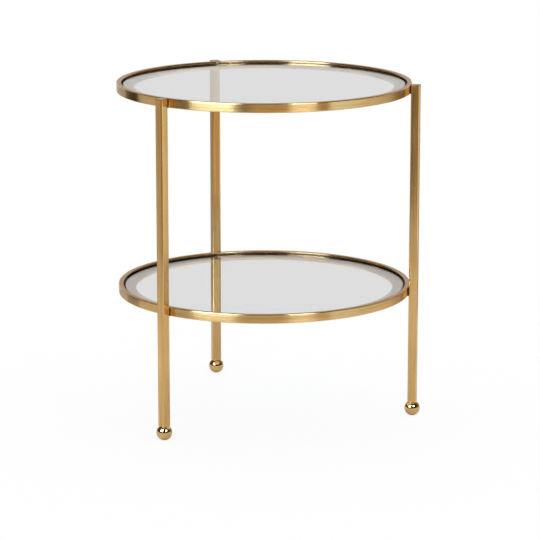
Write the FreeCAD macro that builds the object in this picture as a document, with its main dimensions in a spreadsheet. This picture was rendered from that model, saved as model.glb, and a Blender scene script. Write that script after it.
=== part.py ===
import FreeCAD, Part
import os
import Sketcher

# A round side table with two tiers. Two equal ring frames of rolled rectangular tube carry loose
# glass discs, three square legs stand outside the rings, and each leg ends in a ball foot.
# Frame: +Z up, the back leg towards +Y and the other two in front of the middle, left and right.
# The origin is on the floor, in the middle of the table's outline. The axis of the rings and of the
# legs' circle stands a little in front of it, because the back leg reaches out past the rings.
# Lengths are millimetres.

DRIVING_SIZES = [
    ("table_height", 563.0, "floor to the top of the upper ring and of the legs"),
    ("lower_ring_top", 222.5, "floor to the top of the lower ring"),
    ("ring_diameter", 490.0, "outside of the ring tube"),
    ("ring_width", 8.0, "radial width of the ring tube"),
    ("ring_height", 15.0, "height of the ring tube"),
    ("ring_wall", 1.2, "wall of the ring tube"),
    ("ring_corner", 1.5, "outer corner radius of the ring tube"),
    ("ledge_width", 21.0, "how far the ledge reaches in from the ring"),
    ("ledge_thickness", 4.0, "flat bar of the ledge"),
    ("ledge_edge", 0.4, "broken inner edges of the ledge"),
    ("weld_gap", 0.1, "fitting gap between the ledge and the ring it is welded in"),
    ("glass_thickness", 5.0, "toughened glass"),
    ("glass_gap", 2.0, "between the glass edge and the ring"),
    ("glass_edge", 2.0, "rounding of the polished glass edge"),
    ("pad_diameter", 10.0, "clear bumper under the glass"),
    ("pad_height", 2.0, "clear bumper under the glass"),
    ("pad_count", 6, "bumpers on each ledge"),
    ("leg_angle", -30.0, "direction of the right leg, in degrees from +X"),
    ("leg_side", 15.0, "outside of the square leg tube"),
    ("leg_wall", 1.2, "wall of the leg tube"),
    ("leg_corner", 2.5, "outer corner radius of the leg tube"),
    ("leg_bore_corner", 1.3, "inner corner radius of the leg tube"),
    ("cap_thickness", 1.2, "plate that closes the top of a leg"),
    ("plug_height", 14.0, "threaded plug in the foot of a leg"),
    ("plug_clearance", 0.1, "between a leg's bore and the plug in it"),
    ("ball_diameter", 26.0, "ball foot"),
    ("ball_seat", 1.9, "height of the ball that is turned off to seat the leg"),
    ("stud_diameter", 6.0, "stud between plug and ball"),
    ("stud_in_plug", 11.0, "how far the stud reaches into the plug"),
    ("stud_in_ball", 11.0, "how far the stud reaches into the ball"),
    ("stud_chamfer", 0.6, "on both ends of the stud"),
    ("bore_bottom", 1.0, "free depth below the stud in the ball"),
    ("thread_clearance", 0.05, "radial gap between a thread or bush and its hole"),
    ("joint_gap", 0.8, "between ring and leg: the spacer and the flange of the insert"),
    ("screw_diameter", 4.0, "countersunk joint screw"),
    ("screw_head", 7.8, "diameter of its head"),
    ("screw_sink", 0.2, "how far the head lies below the ring's inner wall"),
    ("screw_reach", 7.0, "how far the screw reaches into the leg"),
    ("socket_width", 2.5, "hexagon socket in the head, across flats"),
    ("socket_depth", 1.4, "hexagon socket in the head"),
    ("bush_wall", 1.1, "wall of the joint bush around the screw's head"),
    ("insert_diameter", 6.0, "barrel of the threaded insert"),
    ("insert_flange", 9.0, "diameter of its flange"),
    ("insert_length", 9.0, "length of its barrel"),
    ("insert_bulb", 8.4, "diameter of the upset bulb that grips the leg's wall"),
    ("insert_bulb_length", 2.5, "length of the upset bulb"),
    ("insert_bulb_gap", 0.05, "between the bulb and the leg's wall"),
    ("spacer_play", 0.2, "radial gap between the spacer's hole and the insert's flange"),
]

LEGS = 3
LEG_NAMES = {"right": 0, "back": 1, "left": 2}
TIER_TOPS = {"upper": "Sizes.table_height", "lower": "Sizes.lower_ring_top"}

# Sizes that follow from the driving ones, as expressions on the spreadsheet.
RING_OUTSIDE = "Sizes.ring_diameter / 2"
RING_INSIDE = "(Sizes.ring_diameter / 2 - Sizes.ring_width)"
LEDGE_OUTSIDE = f"({RING_INSIDE} - Sizes.weld_gap)"
LEDGE_INSIDE = f"({RING_INSIDE} - Sizes.ledge_width)"
PAD_CIRCLE = f"({RING_INSIDE} - Sizes.ledge_width / 2)"
GLASS_RADIUS = f"({RING_INSIDE} - Sizes.glass_gap)"
LEG_INSIDE = "(Sizes.ring_diameter / 2 + Sizes.joint_gap)"
LEG_CENTRE = f"({LEG_INSIDE} + Sizes.leg_side / 2)"
LEG_BOTTOM = "(Sizes.ball_diameter - Sizes.ball_seat)"
LEG_BORE = "(Sizes.leg_side - 2 * Sizes.leg_wall)"
FOOT_REACH = f"({LEG_CENTRE} + max(Sizes.ball_diameter; Sizes.leg_side) / 2)"
AXIS_Y = f"({RING_OUTSIDE} - {FOOT_REACH}) / 2"
BUSH_RADIUS = "(Sizes.screw_head / 2 + Sizes.bush_wall)"
SCREW_RADIUS = "Sizes.screw_diameter / 2"
THREAD_RADIUS = f"({SCREW_RADIUS} + Sizes.thread_clearance)"
STUD_RADIUS = "Sizes.stud_diameter / 2"
STUD_BORE = f"({STUD_RADIUS} + Sizes.thread_clearance)"

# Geometry ids and point positions that sketch constraints use. The axes start at the origin.
HORIZONTAL_AXIS, VERTICAL_AXIS = range(-1, -3, -1)
START, END, CENTRE = range(1, 4)

# Two radii that differ by less than this are one and the same.
TOLERANCE = 1e-6

doc = FreeCAD.newDocument("tiered_side_table")
parts = []


def write_sizes():
    """The spreadsheet that drives every piece: name, value and meaning, one size a row."""
    sheet = doc.addObject("Spreadsheet::Sheet", "Sizes")
    for row, (alias, value, meaning) in enumerate(DRIVING_SIZES, start=1):
        sheet.set(f"A{row}", alias)
        sheet.set(f"B{row}", str(value))
        sheet.setAlias(f"B{row}", alias)
        sheet.set(f"C{row}", meaning)
    doc.recompute()
    return sheet


def new_body(label, height, turn="0"):
    """A body about the rings' axis: its XY plane lies at a height and its X axis, turned by an
    angle from the right leg, points outwards."""
    body = doc.addObject("PartDesign::Body", label)
    body.Label = label
    body.AllowCompound = True
    body.setExpression("Placement.Base.y", AXIS_Y)
    body.setExpression("Placement.Base.z", height)
    body.setExpression("Placement.Rotation.Angle", f"Sizes.leg_angle + {turn}")
    parts.append(body)
    return body


def origin_feature(body, role):
    return next(f for f in body.Origin.OriginFeatures if f.Role == role)


def new_sketch(body, role, **offsets):
    """A sketch on one of the body's own planes, moved along the sketch's x, y or z by expressions."""
    sketch = body.newObject("Sketcher::SketchObject", f"{body.Label}_sketch")
    sketch.AttachmentSupport = [(origin_feature(body, role), "")]
    sketch.MapMode = "FlatFace"
    for axis, expression in offsets.items():
        sketch.setExpression(f"AttachmentOffset.Base.{axis}", expression)
    return sketch


def hold(sketch, kind, geometry, point, expression):
    """Hold a point's x or y at an expression's value, measured from the sketch's origin."""
    value = sketch.evalExpression(expression)
    if value >= 0:
        ends = (HORIZONTAL_AXIS, START, geometry, point)
    else:
        ends = (geometry, point, HORIZONTAL_AXIS, START)
        expression = f"-({expression})"
    index = sketch.addConstraint(Sketcher.Constraint(kind, *ends, abs(value)))
    sketch.setExpression(f"Constraints[{index}]", expression)


def hold_size(sketch, kind, geometry, expression):
    """Hold a radius at an expression's value."""
    value = sketch.evalExpression(expression)
    index = sketch.addConstraint(Sketcher.Constraint(kind, geometry, value))
    sketch.setExpression(f"Constraints[{index}]", expression)


def draw_circle(sketch, radius, x=None, y=None):
    """A circle about the sketch's origin, or about a point held by expressions."""
    place = [sketch.evalExpression(e) if e else 0.0 for e in (x, y)]
    centre = FreeCAD.Vector(*place, 0)
    circle = sketch.addGeometry(Part.Circle(centre, FreeCAD.Vector(0, 0, 1), sketch.evalExpression(radius)))
    hold_size(sketch, "Radius", circle, radius)
    if x is None and y is None:
        sketch.addConstraint(Sketcher.Constraint("Coincident", circle, CENTRE, HORIZONTAL_AXIS, START))
        return
    for kind, expression in (("DistanceX", x), ("DistanceY", y)):
        if expression:
            hold(sketch, kind, circle, CENTRE, expression)
        else:
            sketch.addConstraint(Sketcher.Constraint(kind, HORIZONTAL_AXIS, START, circle, CENTRE, 0.0))


def draw_outline(sketch, points):
    """A closed outline of straight sides. Each point is a pair of expressions, for x and y."""
    places = [FreeCAD.Vector(sketch.evalExpression(x), sketch.evalExpression(y), 0) for x, y in points]
    first = sketch.GeometryCount
    last = len(points) - 1
    for i, place in enumerate(places):
        following = places[0 if i == last else i + 1]
        sketch.addGeometry(Part.LineSegment(place, following))
    for i in range(len(points)):
        following = first if i == last else first + i + 1
        sketch.addConstraint(Sketcher.Constraint("Coincident", first + i, END, following, START))
    for i, (x, y) in enumerate(points):
        hold(sketch, "DistanceX", first + i, START, x)
        hold(sketch, "DistanceY", first + i, START, y)


def draw_box(sketch, left, right, bottom, top):
    draw_outline(sketch, [(left, bottom), (right, bottom), (right, top), (left, top)])


def draw_rounded_box(sketch, left, right, bottom, top, radius):
    """A rectangle whose corners are tangent arcs. Every argument is an expression."""
    x0, x1, y0, y1, r = (sketch.evalExpression(e) for e in (left, right, bottom, top, radius))
    point = FreeCAD.Vector
    sides = [
        (point(x0 + r, y0, 0), point(x1 - r, y0, 0)),
        (point(x1, y0 + r, 0), point(x1, y1 - r, 0)),
        (point(x1 - r, y1, 0), point(x0 + r, y1, 0)),
        (point(x0, y1 - r, 0), point(x0, y0 + r, 0)),
    ]
    half = r * 0.5 ** 0.5
    corners = [
        point(x1 - r + half, y0 + r - half, 0),
        point(x1 - r + half, y1 - r + half, 0),
        point(x0 + r - half, y1 - r + half, 0),
        point(x0 + r - half, y0 + r - half, 0),
    ]
    lines = [sketch.addGeometry(Part.LineSegment(*side)) for side in sides]
    arcs = []
    for i, corner in enumerate(corners):
        following = sides[(i + 1) % len(sides)][0]
        arcs.append(sketch.addGeometry(Part.Arc(sides[i][1], corner, following)))
    for i, arc in enumerate(arcs):
        following = lines[(i + 1) % len(lines)]
        sketch.addConstraint(Sketcher.Constraint("Tangent", lines[i], END, arc, START))
        sketch.addConstraint(Sketcher.Constraint("Tangent", arc, END, following, START))
        if i:
            sketch.addConstraint(Sketcher.Constraint("Equal", arcs[0], arc))
    for line, kind in zip(lines, ("Horizontal", "Vertical", "Horizontal", "Vertical")):
        sketch.addConstraint(Sketcher.Constraint(kind, line))
    hold_size(sketch, "Radius", arcs[0], radius)
    hold(sketch, "DistanceY", lines[0], START, bottom)
    hold(sketch, "DistanceX", lines[1], START, right)
    hold(sketch, "DistanceY", lines[2], START, top)
    hold(sketch, "DistanceX", lines[3], START, left)


def draw_square(sketch, side, corner):
    """A rounded square about the sketch's origin."""
    draw_rounded_box(sketch, f"-{side} / 2", f"{side} / 2", f"-{side} / 2", f"{side} / 2", corner)


def pad(body, sketch, length):
    feature = body.newObject("PartDesign::Pad", f"{body.Label}_pad")
    feature.Profile = sketch
    feature.setExpression("Length", length)
    doc.recompute()
    return feature


def revolve(body, sketch, axis):
    feature = body.newObject("PartDesign::Revolution", f"{body.Label}_revolution")
    feature.Profile = sketch
    feature.ReferenceAxis = (sketch, [axis])
    feature.Angle = 360
    doc.recompute()
    return feature


def pocket(body, sketch, depth, outwards):
    """A pocket that cuts towards the table's axis or away from it, and must remove something."""
    before = body.Shape.Volume
    feature = body.newObject("PartDesign::Pocket", f"{body.Label}_pocket")
    feature.Profile = sketch
    feature.setExpression("Length", depth)
    feature.Reversed = outwards
    doc.recompute()
    if body.Shape.Volume >= before:
        raise RuntimeError(f"the pocket in {body.Label} cuts nothing")
    return feature


def repeat_round(body, features, count):
    """Copies of the features, evenly spaced about the table's axis."""
    pattern = body.newObject("PartDesign::PolarPattern", f"{body.Label}_pattern")
    pattern.Originals = features
    pattern.Axis = (origin_feature(body, "Z_Axis"), [""])
    pattern.Angle = 360
    pattern.setExpression("Occurrences", count)
    body.Tip = pattern
    doc.recompute()
    return pattern


def round_edges(body, feature, radius, wanted):
    """Fillet the edges of a feature for which wanted(edge) is true."""
    names = [f"Edge{i}" for i, edge in enumerate(feature.Shape.Edges, start=1) if wanted(edge)]
    fillet = body.newObject("PartDesign::Fillet", f"{body.Label}_fillet")
    fillet.Base = (feature, names)
    fillet.setExpression("Radius", radius)
    doc.recompute()
    return fillet


def tier_height(tier, rise="0"):
    """A height above the bottom of a tier's ring."""
    return f"{TIER_TOPS[tier]} - Sizes.ring_height + {rise}"


def build_ring(tier):
    """Rectangular tube rolled into a ring, drilled through both walls for the joint bushes. Its
    section is drawn opposite the first hole, so that the tube's weld lies between two legs."""
    body = new_body(f"{tier}_ring", tier_height(tier))
    section = new_sketch(body, "XZ_Plane")
    outside, inside, wall = f"-{RING_OUTSIDE}", f"-{RING_INSIDE}", "Sizes.ring_wall"
    draw_rounded_box(section, outside, inside, "0", "Sizes.ring_height", "Sizes.ring_corner")
    draw_box(section, f"{outside} + {wall}", f"{inside} - {wall}", wall, f"Sizes.ring_height - {wall}")
    revolve(body, section, "V_Axis")
    hole = new_sketch(body, "YZ_Plane", y="Sizes.ring_height / 2", z=RING_INSIDE)
    draw_circle(hole, f"{BUSH_RADIUS} + Sizes.thread_clearance")
    drilled = pocket(body, hole, "2 * Sizes.ring_width", outwards=True)
    repeat_round(body, [drilled], str(LEGS))


def build_ledge(tier):
    """Flat bar rolled into a ring, welded inside the ring tube and flush with its underside. Its
    inner edges are broken, by a third of its thickness at most."""
    body = new_body(f"{tier}_ledge", tier_height(tier))
    sketch = new_sketch(body, "XY_Plane")
    draw_circle(sketch, LEDGE_OUTSIDE)
    draw_circle(sketch, LEDGE_INSIDE)
    plate = pad(body, sketch, "Sizes.ledge_thickness")
    inside = sketch.evalExpression(LEDGE_INSIDE)
    edge = "min(Sizes.ledge_edge; Sizes.ledge_thickness / 3)"
    round_edges(body, plate, edge, lambda e: is_circle(e, inside))


def is_circle(edge, radius):
    return isinstance(edge.Curve, Part.Circle) and abs(edge.Curve.Radius - radius) < TOLERANCE


def build_glass_pads(tier):
    """Clear bumpers on the ledge, which the glass rests on."""
    body = new_body(f"{tier}_glass_pads", tier_height(tier, "Sizes.ledge_thickness"), f"180 / {LEGS}")
    sketch = new_sketch(body, "XY_Plane", x=PAD_CIRCLE)
    draw_circle(sketch, "Sizes.pad_diameter / 2")
    bumper = pad(body, sketch, "Sizes.pad_height")
    repeat_round(body, [bumper], "Sizes.pad_count")


def build_glass(tier):
    """A loose disc with a polished edge, rounded but for a narrow flat at mid-thickness."""
    body = new_body(f"{tier}_glass", tier_height(tier, "Sizes.ledge_thickness + Sizes.pad_height"))
    sketch = new_sketch(body, "XY_Plane")
    draw_circle(sketch, GLASS_RADIUS)
    disc = pad(body, sketch, "Sizes.glass_thickness")
    radius = sketch.evalExpression(GLASS_RADIUS)
    edge = "min(Sizes.glass_edge; Sizes.glass_thickness * 0.45)"
    round_edges(body, disc, edge, lambda e: is_circle(e, radius))


def joint_body(tier, name):
    """A body whose x axis is the screw axis of the right leg's joint with a tier."""
    return new_body(f"{tier}_joint_{name}", tier_height(tier, "Sizes.ring_height / 2"))


def build_joint_bushes(tier):
    """A bush through the hollow ring at each leg, countersunk for the screw's head."""
    body = joint_body(tier, "bushes")
    sketch = new_sketch(body, "XZ_Plane")
    head = "(Sizes.screw_head / 2 + Sizes.thread_clearance)"
    sunk = f"({RING_INSIDE} + Sizes.screw_sink)"
    draw_outline(sketch, [
        (RING_INSIDE, BUSH_RADIUS),
        (RING_OUTSIDE, BUSH_RADIUS),
        (RING_OUTSIDE, THREAD_RADIUS),
        (f"{sunk} + {head} - {THREAD_RADIUS}", THREAD_RADIUS),
        (sunk, head),
        (RING_INSIDE, head),
    ])
    bush = revolve(body, sketch, "H_Axis")
    repeat_round(body, [bush], str(LEGS))


def build_joint_screws(tier):
    """Countersunk screws from inside the ring into the legs, with a hexagon socket."""
    body = joint_body(tier, "screws")
    sketch = new_sketch(body, "XZ_Plane")
    face = f"({RING_INSIDE} + Sizes.screw_sink)"
    draw_outline(sketch, [
        (face, "0"),
        (face, "Sizes.screw_head / 2"),
        (f"{face} + Sizes.screw_head / 2 - {SCREW_RADIUS}", SCREW_RADIUS),
        (f"{LEG_INSIDE} + Sizes.screw_reach", SCREW_RADIUS),
        (f"{LEG_INSIDE} + Sizes.screw_reach", "0"),
    ])
    screw = revolve(body, sketch, "H_Axis")
    socket = new_sketch(body, "YZ_Plane", z=face)
    half = "Sizes.socket_width / 2"
    corner = f"{half} / cos(30)"
    draw_outline(socket, [
        (f"{corner} / 2", half),
        (f"-{corner} / 2", half),
        (f"-{corner}", "0"),
        (f"-{corner} / 2", f"-{half}"),
        (f"{corner} / 2", f"-{half}"),
        (corner, "0"),
    ])
    cut = pocket(body, socket, "Sizes.socket_depth", outwards=True)
    repeat_round(body, [screw, cut], str(LEGS))


def build_joint_inserts(tier):
    """Threaded inserts in the legs' inner walls: flange outside, upset bulb inside."""
    body = joint_body(tier, "inserts")
    sketch = new_sketch(body, "XZ_Plane")
    barrel = "Sizes.insert_diameter / 2"
    bulb = "Sizes.insert_bulb / 2"
    wall_inside = f"({LEG_INSIDE} + Sizes.leg_wall + Sizes.insert_bulb_gap)"
    draw_outline(sketch, [
        (RING_OUTSIDE, THREAD_RADIUS),
        (f"{LEG_INSIDE} + Sizes.insert_length", THREAD_RADIUS),
        (f"{LEG_INSIDE} + Sizes.insert_length", barrel),
        (f"{wall_inside} + Sizes.insert_bulb_length", barrel),
        (f"{wall_inside} + Sizes.insert_bulb_length", bulb),
        (wall_inside, bulb),
        (wall_inside, barrel),
        (LEG_INSIDE, barrel),
        (LEG_INSIDE, "Sizes.insert_flange / 2"),
        (RING_OUTSIDE, "Sizes.insert_flange / 2"),
    ])
    insert = revolve(body, sketch, "H_Axis")
    repeat_round(body, [insert], str(LEGS))


def build_joint_spacers(tier):
    """A thin plate between ring and leg, as wide as the leg and as high as the ring."""
    body = joint_body(tier, "spacers")
    sketch = new_sketch(body, "YZ_Plane", z=RING_OUTSIDE)
    width = "Sizes.leg_side / 2"
    height = "Sizes.ring_height / 2"
    draw_box(sketch, f"-{width}", width, f"-{height}", height)
    draw_circle(sketch, "Sizes.insert_flange / 2 + Sizes.spacer_play")
    spacer = pad(body, sketch, "Sizes.joint_gap")
    repeat_round(body, [spacer], str(LEGS))


def leg_body(leg, name, height):
    return new_body(f"{leg}_{name}", height, f"{LEG_NAMES[leg]} * 360 / {LEGS}")


def build_leg(leg):
    """Square tube with rounded corners, drilled in its inner wall for the two inserts."""
    body = leg_body(leg, "leg", LEG_BOTTOM)
    section = new_sketch(body, "XY_Plane", x=LEG_CENTRE)
    draw_square(section, "Sizes.leg_side", "Sizes.leg_corner")
    draw_square(section, LEG_BORE, "Sizes.leg_bore_corner")
    pad(body, section, f"Sizes.table_height - Sizes.cap_thickness - {LEG_BOTTOM}")
    holes = new_sketch(body, "YZ_Plane", z=LEG_INSIDE)
    for top in TIER_TOPS.values():
        height = f"{top} - Sizes.ring_height / 2 - {LEG_BOTTOM}"
        draw_circle(holes, "Sizes.insert_diameter / 2 + Sizes.thread_clearance", y=height)
    pocket(body, holes, "2 * Sizes.leg_wall", outwards=True)


def build_leg_cap(leg):
    """A plate welded on the leg's upper end, flush with its sides."""
    body = leg_body(leg, "leg_cap", "Sizes.table_height - Sizes.cap_thickness")
    sketch = new_sketch(body, "XY_Plane", x=LEG_CENTRE)
    draw_square(sketch, "Sizes.leg_side", "Sizes.leg_corner")
    pad(body, sketch, "Sizes.cap_thickness")


def build_foot_plug(leg):
    """A block pressed into the leg's lower end and tapped for the stud."""
    body = leg_body(leg, "foot_plug", LEG_BOTTOM)
    sketch = new_sketch(body, "XY_Plane", x=LEG_CENTRE)
    draw_square(sketch, f"({LEG_BORE} - 2 * Sizes.plug_clearance)", "Sizes.leg_bore_corner")
    draw_circle(sketch, STUD_BORE)
    pad(body, sketch, "Sizes.plug_height")


def build_foot_stud(leg):
    """A plain stud with chamfered ends, half in the plug and half in the ball."""
    body = leg_body(leg, "foot_stud", LEG_BOTTOM)
    sketch = new_sketch(body, "XZ_Plane", x=LEG_CENTRE)
    chamfer = "Sizes.stud_chamfer"
    draw_outline(sketch, [
        ("0", "-Sizes.stud_in_ball"),
        (f"{STUD_RADIUS} - {chamfer}", "-Sizes.stud_in_ball"),
        (STUD_RADIUS, f"{chamfer} - Sizes.stud_in_ball"),
        (STUD_RADIUS, f"Sizes.stud_in_plug - {chamfer}"),
        (f"{STUD_RADIUS} - {chamfer}", "Sizes.stud_in_plug"),
        ("0", "Sizes.stud_in_plug"),
    ])
    revolve(body, sketch, "V_Axis")


def build_foot_ball(leg):
    """A turned ball, flat on top where the leg sits, with a tapped hole for the stud."""
    body = leg_body(leg, "foot_ball", "0")
    sketch = new_sketch(body, "XZ_Plane", x=LEG_CENTRE)
    radius = sketch.evalExpression("Sizes.ball_diameter / 2")
    seat = sketch.evalExpression(LEG_BOTTOM)
    seat_radius = (radius ** 2 - (seat - radius) ** 2) ** 0.5
    bore = sketch.evalExpression(STUD_BORE)
    bore_bottom = f"{LEG_BOTTOM} - Sizes.stud_in_ball - Sizes.bore_bottom"
    depth = sketch.evalExpression(bore_bottom)
    point = FreeCAD.Vector
    arc = sketch.addGeometry(Part.Arc(point(0, 0, 0), point(radius, radius, 0), point(seat_radius, seat, 0)))
    corners = [
        point(seat_radius, seat, 0),
        point(bore, seat, 0),
        point(bore, depth, 0),
        point(0, depth, 0),
        point(0, 0, 0),
    ]
    lines = [sketch.addGeometry(Part.LineSegment(a, b)) for a, b in zip(corners, corners[1:])]
    chain = [arc, *lines]
    for one, following in zip(chain, chain[1:] + chain[:1]):
        sketch.addConstraint(Sketcher.Constraint("Coincident", one, END, following, START))
    seat_line, bore_wall, bore_end, axis_line = lines
    sketch.addConstraint(Sketcher.Constraint("Horizontal", seat_line))
    sketch.addConstraint(Sketcher.Constraint("Vertical", bore_wall))
    sketch.addConstraint(Sketcher.Constraint("Horizontal", bore_end))
    sketch.addConstraint(Sketcher.Constraint("Coincident", axis_line, END, HORIZONTAL_AXIS, START))
    sketch.addConstraint(Sketcher.Constraint("PointOnObject", axis_line, START, VERTICAL_AXIS))
    sketch.addConstraint(Sketcher.Constraint("PointOnObject", arc, CENTRE, VERTICAL_AXIS))
    hold_size(sketch, "Radius", arc, "Sizes.ball_diameter / 2")
    hold(sketch, "DistanceY", seat_line, START, LEG_BOTTOM)
    hold(sketch, "DistanceX", bore_wall, START, STUD_BORE)
    hold(sketch, "DistanceY", bore_end, START, bore_bottom)
    revolve(body, sketch, "V_Axis")


def check_model():
    """Stop if any object failed, or if a piece has no valid solid."""
    doc.recompute()
    for item in doc.Objects:
        if any(word in item.State for word in ("Invalid", "Error")):
            raise RuntimeError(f"{item.Label} failed: {item.State}")
    for body in parts:
        shape = body.Shape
        if shape.isNull() or not shape.isValid() or not shape.Solids:
            raise RuntimeError(f"{body.Label} has no valid solid")


def write_parts():
    os.makedirs("parts", exist_ok=True)
    for body in parts:
        body.Shape.exportStep(f"parts/{body.Label}.step")
        print(body.Label, len(body.Shape.Solids), round(body.Shape.Volume, 1))


write_sizes()
for tier in TIER_TOPS:
    build_ring(tier)
    build_ledge(tier)
    build_glass_pads(tier)
    build_glass(tier)
    build_joint_bushes(tier)
    build_joint_screws(tier)
    build_joint_inserts(tier)
    build_joint_spacers(tier)
for leg in LEG_NAMES:
    build_leg(leg)
    build_leg_cap(leg)
    build_foot_plug(leg)
    build_foot_stud(leg)
    build_foot_ball(leg)
check_model()
write_parts()
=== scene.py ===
"""The looks of a round side table with two tiers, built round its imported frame.

Lengths are metres and angles are degrees, in the frame's own coordinates: +Z up, the back leg
towards +Y. The rings and the circle of the legs share one upright axis, a little in front of the
origin. Every piece is worked out from the boxes of the frame's nodes and the sizes named below.
"""

import math

import bmesh
import bpy
from mathutils import Matrix, Vector


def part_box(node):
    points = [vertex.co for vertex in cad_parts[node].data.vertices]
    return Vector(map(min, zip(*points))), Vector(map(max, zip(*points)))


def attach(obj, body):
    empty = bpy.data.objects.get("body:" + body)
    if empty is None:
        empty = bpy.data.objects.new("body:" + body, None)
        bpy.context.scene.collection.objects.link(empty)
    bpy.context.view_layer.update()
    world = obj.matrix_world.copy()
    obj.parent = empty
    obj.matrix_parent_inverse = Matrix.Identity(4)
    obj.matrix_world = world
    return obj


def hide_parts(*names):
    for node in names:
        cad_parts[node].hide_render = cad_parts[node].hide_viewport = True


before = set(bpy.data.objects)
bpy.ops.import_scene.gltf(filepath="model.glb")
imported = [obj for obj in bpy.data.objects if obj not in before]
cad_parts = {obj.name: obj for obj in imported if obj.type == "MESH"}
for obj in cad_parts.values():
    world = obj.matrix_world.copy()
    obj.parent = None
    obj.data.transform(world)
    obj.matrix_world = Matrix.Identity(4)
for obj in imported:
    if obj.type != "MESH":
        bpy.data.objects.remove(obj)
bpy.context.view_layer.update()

TIERS = {"upper": "top_glass", "lower": "shelf_glass"}
LEG_ANGLES = {"right": -30.0, "back": 90.0, "left": 210.0}
LEGS = len(LEG_ANGLES)

# Ring tube and ledge.
RING_WIDTH = 0.008
RING_CORNER = 0.0015
LEDGE_WIDTH = 0.021
LEDGE_EDGE = 0.0004
RING_SEGMENTS = 288
CORNER_STEPS = 6

# Glass and the bumpers under it, which stand between the legs and in line with them.
GLASS_EDGE = 0.002
GLASS_EDGE_STEPS = 8
PADS = 6
PAD_TURN = LEG_ANGLES["right"] + 180 / LEGS
PAD_RADIUS = 0.005
PAD_EDGE = 0.0006
PAD_EDGE_STEPS = 4
PAD_PLAY = 0.00002

# Legs, caps and ball feet.
LEG_CORNER = 0.0025
LEG_WALL = 0.0012
BORE_CORNER = 0.0013
CAP_EDGE = 0.0003
SEAM_EDGE = 0.00012
BALL_SEGMENTS = 96
BALL_RINGS = 48

# Joint between ring and leg: bush, countersunk screw with a hexagon socket, and spacer.
JOINT_GAP = 0.0008
BUSH_WALL = 0.0011
BUSH_PLAY = 0.00005
SCREW_RADIUS = 0.002
SCREW_HEAD = 0.0039
SCREW_SINK = 0.0002
SCREW_EDGE = 0.00015
SOCKET_FLATS = 0.0025
SOCKET_DEPTH = 0.0014
SPACER_EDGE = 0.00015
SPACER_PLAY = 0.0002
HARDWARE_SEGMENTS = 48

# Edges sharper than this angle stay sharp. A face is level where the upright part of its direction
# is more than LEVEL_FACE, and is an inner one where the part towards the axis is more than INNER_FACE.
SHARP_EDGE = 35.0
LEVEL_FACE = 0.9
INNER_FACE = 0.3

# The darker and the lighter tone of each finish.
BRUSHED_TONES = ((0.68, 0.4, 0.13), (0.92, 0.61, 0.25))
# The plate tones are a darker copy of the brushed brass: painted shade on level faces, on the caps and
# on the rings' inner faces.
SHADED_PLATE_TONES = ((0.45, 0.275, 0.1), (0.57, 0.36, 0.16))
POLISHED_TONES = ((0.8, 0.53, 0.21), (0.85, 0.58, 0.25))
GLASS_TONES = ((0.93, 0.94, 0.935), (0.95, 0.955, 0.95))
# Near black: partly a glass edge's own dark look, partly painted shade of the gap beside it.
GROUND_EDGE_AND_SHADE_TONES = ((0.008, 0.01, 0.009), (0.03, 0.036, 0.032))
BUMPER_TONES = ((0.94, 0.94, 0.92), (0.98, 0.98, 0.97))
ZINC_TONES = ((0.42, 0.43, 0.44), (0.62, 0.63, 0.66))
YELLOW_ZINC_TONES = ((0.5, 0.33, 0.12), (0.68, 0.47, 0.19))
PLASTIC_TONES = ((0.012, 0.011, 0.01), (0.03, 0.028, 0.026))
PLATE_GLINT = (0.82, 0.72, 0.66, 1.0)

# Brush lines as (length, width). The fine ones count for a share of all lines, and the lines for a
# share of the tone. They also make the finish rougher or smoother, by up to ROUGHER.
FINE_LINES = (0.05, 0.0006)
BROAD_LINES = (0.15, 0.003)
FINE_SHARE = 0.45
LINE_SHARE = 0.75
ROUGHER = 0.03
QUARTER_TURN = 0.25

# Grains of each finish's pattern in a metre, along X, Y and Z.
TONE_DRIFT = (9.0, 9.0, 9.0)
PLATE_GRAIN = (160.0, 3500.0, 600.0)
BUFFING = (420.0, 420.0, 2600.0)
POLISH_CLOUD = (70.0, 70.0, 70.0)
WIPING = (14.0, 46.0, 14.0)
FROST = (1500.0, 1500.0, 1500.0)
BUBBLES = (900.0, 900.0, 900.0)
CRYSTALS = (700.0, 700.0, 700.0)
TURNING = (300.0, 300.0, 4000.0)
MOULD_GRAIN = (2200.0, 2200.0, 2200.0)
FLOOR_CLOUD = (3.0, 3.0, 3.0)

# Lacquer on the brass: how much of it is on brushed tube and on plates, and how rough it is.
TUBE_LACQUER = 0.25
PLATE_LACQUER = 0.15
LACQUER_ROUGHNESS = 0.15
LACQUER_IOR = 1.5

# Painted shade: a dark tone on the brass in the gap beside the glass edge, where light doesn't reach.
# It sets in softly over GAP_TOP from the glass's upper face down, and ends between these two depths
# below the ledge's.
GAP_PAINTED_SHADE = (0.035, 0.021, 0.009)
GAP_BLUR = 0.0006
GAP_TOP = 0.0008
GAP_BOTTOM = (0.002, 0.001)

# The camera stands in front of the table, a little to the left, and looks down on it.
VIEW_AZIMUTH = -20.0
CAMERA_DISTANCE = 4.369
CAMERA_HEIGHT = 1.218
CAMERA_SIDESTEP = 0.0097
CAMERA_PITCH = 12.605
CAMERA_LENS = 177.08

# The floor, which reaches further out on the camera's side.
FLOOR_RADIUS = 1.2
FLOOR_SHIFT = 0.45
FLOOR_THICKNESS = 0.002
FLOOR_SEGMENTS = 128
FLOOR_TONE = 0.76
FLOOR_DRIFT = 0.01
FLOOR_GLOW = 0.85

# The room that metal and glass reflect. It changes at a horizon and at a ceiling, which are
# elevations with soft edges. What shows through glass is one pale grey.
HORIZON = 1.0
HORIZON_SOFT = 6.0
CEILING = 68.0
CEILING_SOFT = 10.0
CEILING_LEVEL = 0.6
THROUGH_GLASS = 0.76
WHITE = (1.0, 1.0, 1.0)
WARM = (1.0, 0.75, 0.5)
COOL = (0.82, 1.0, 1.2)

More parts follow.
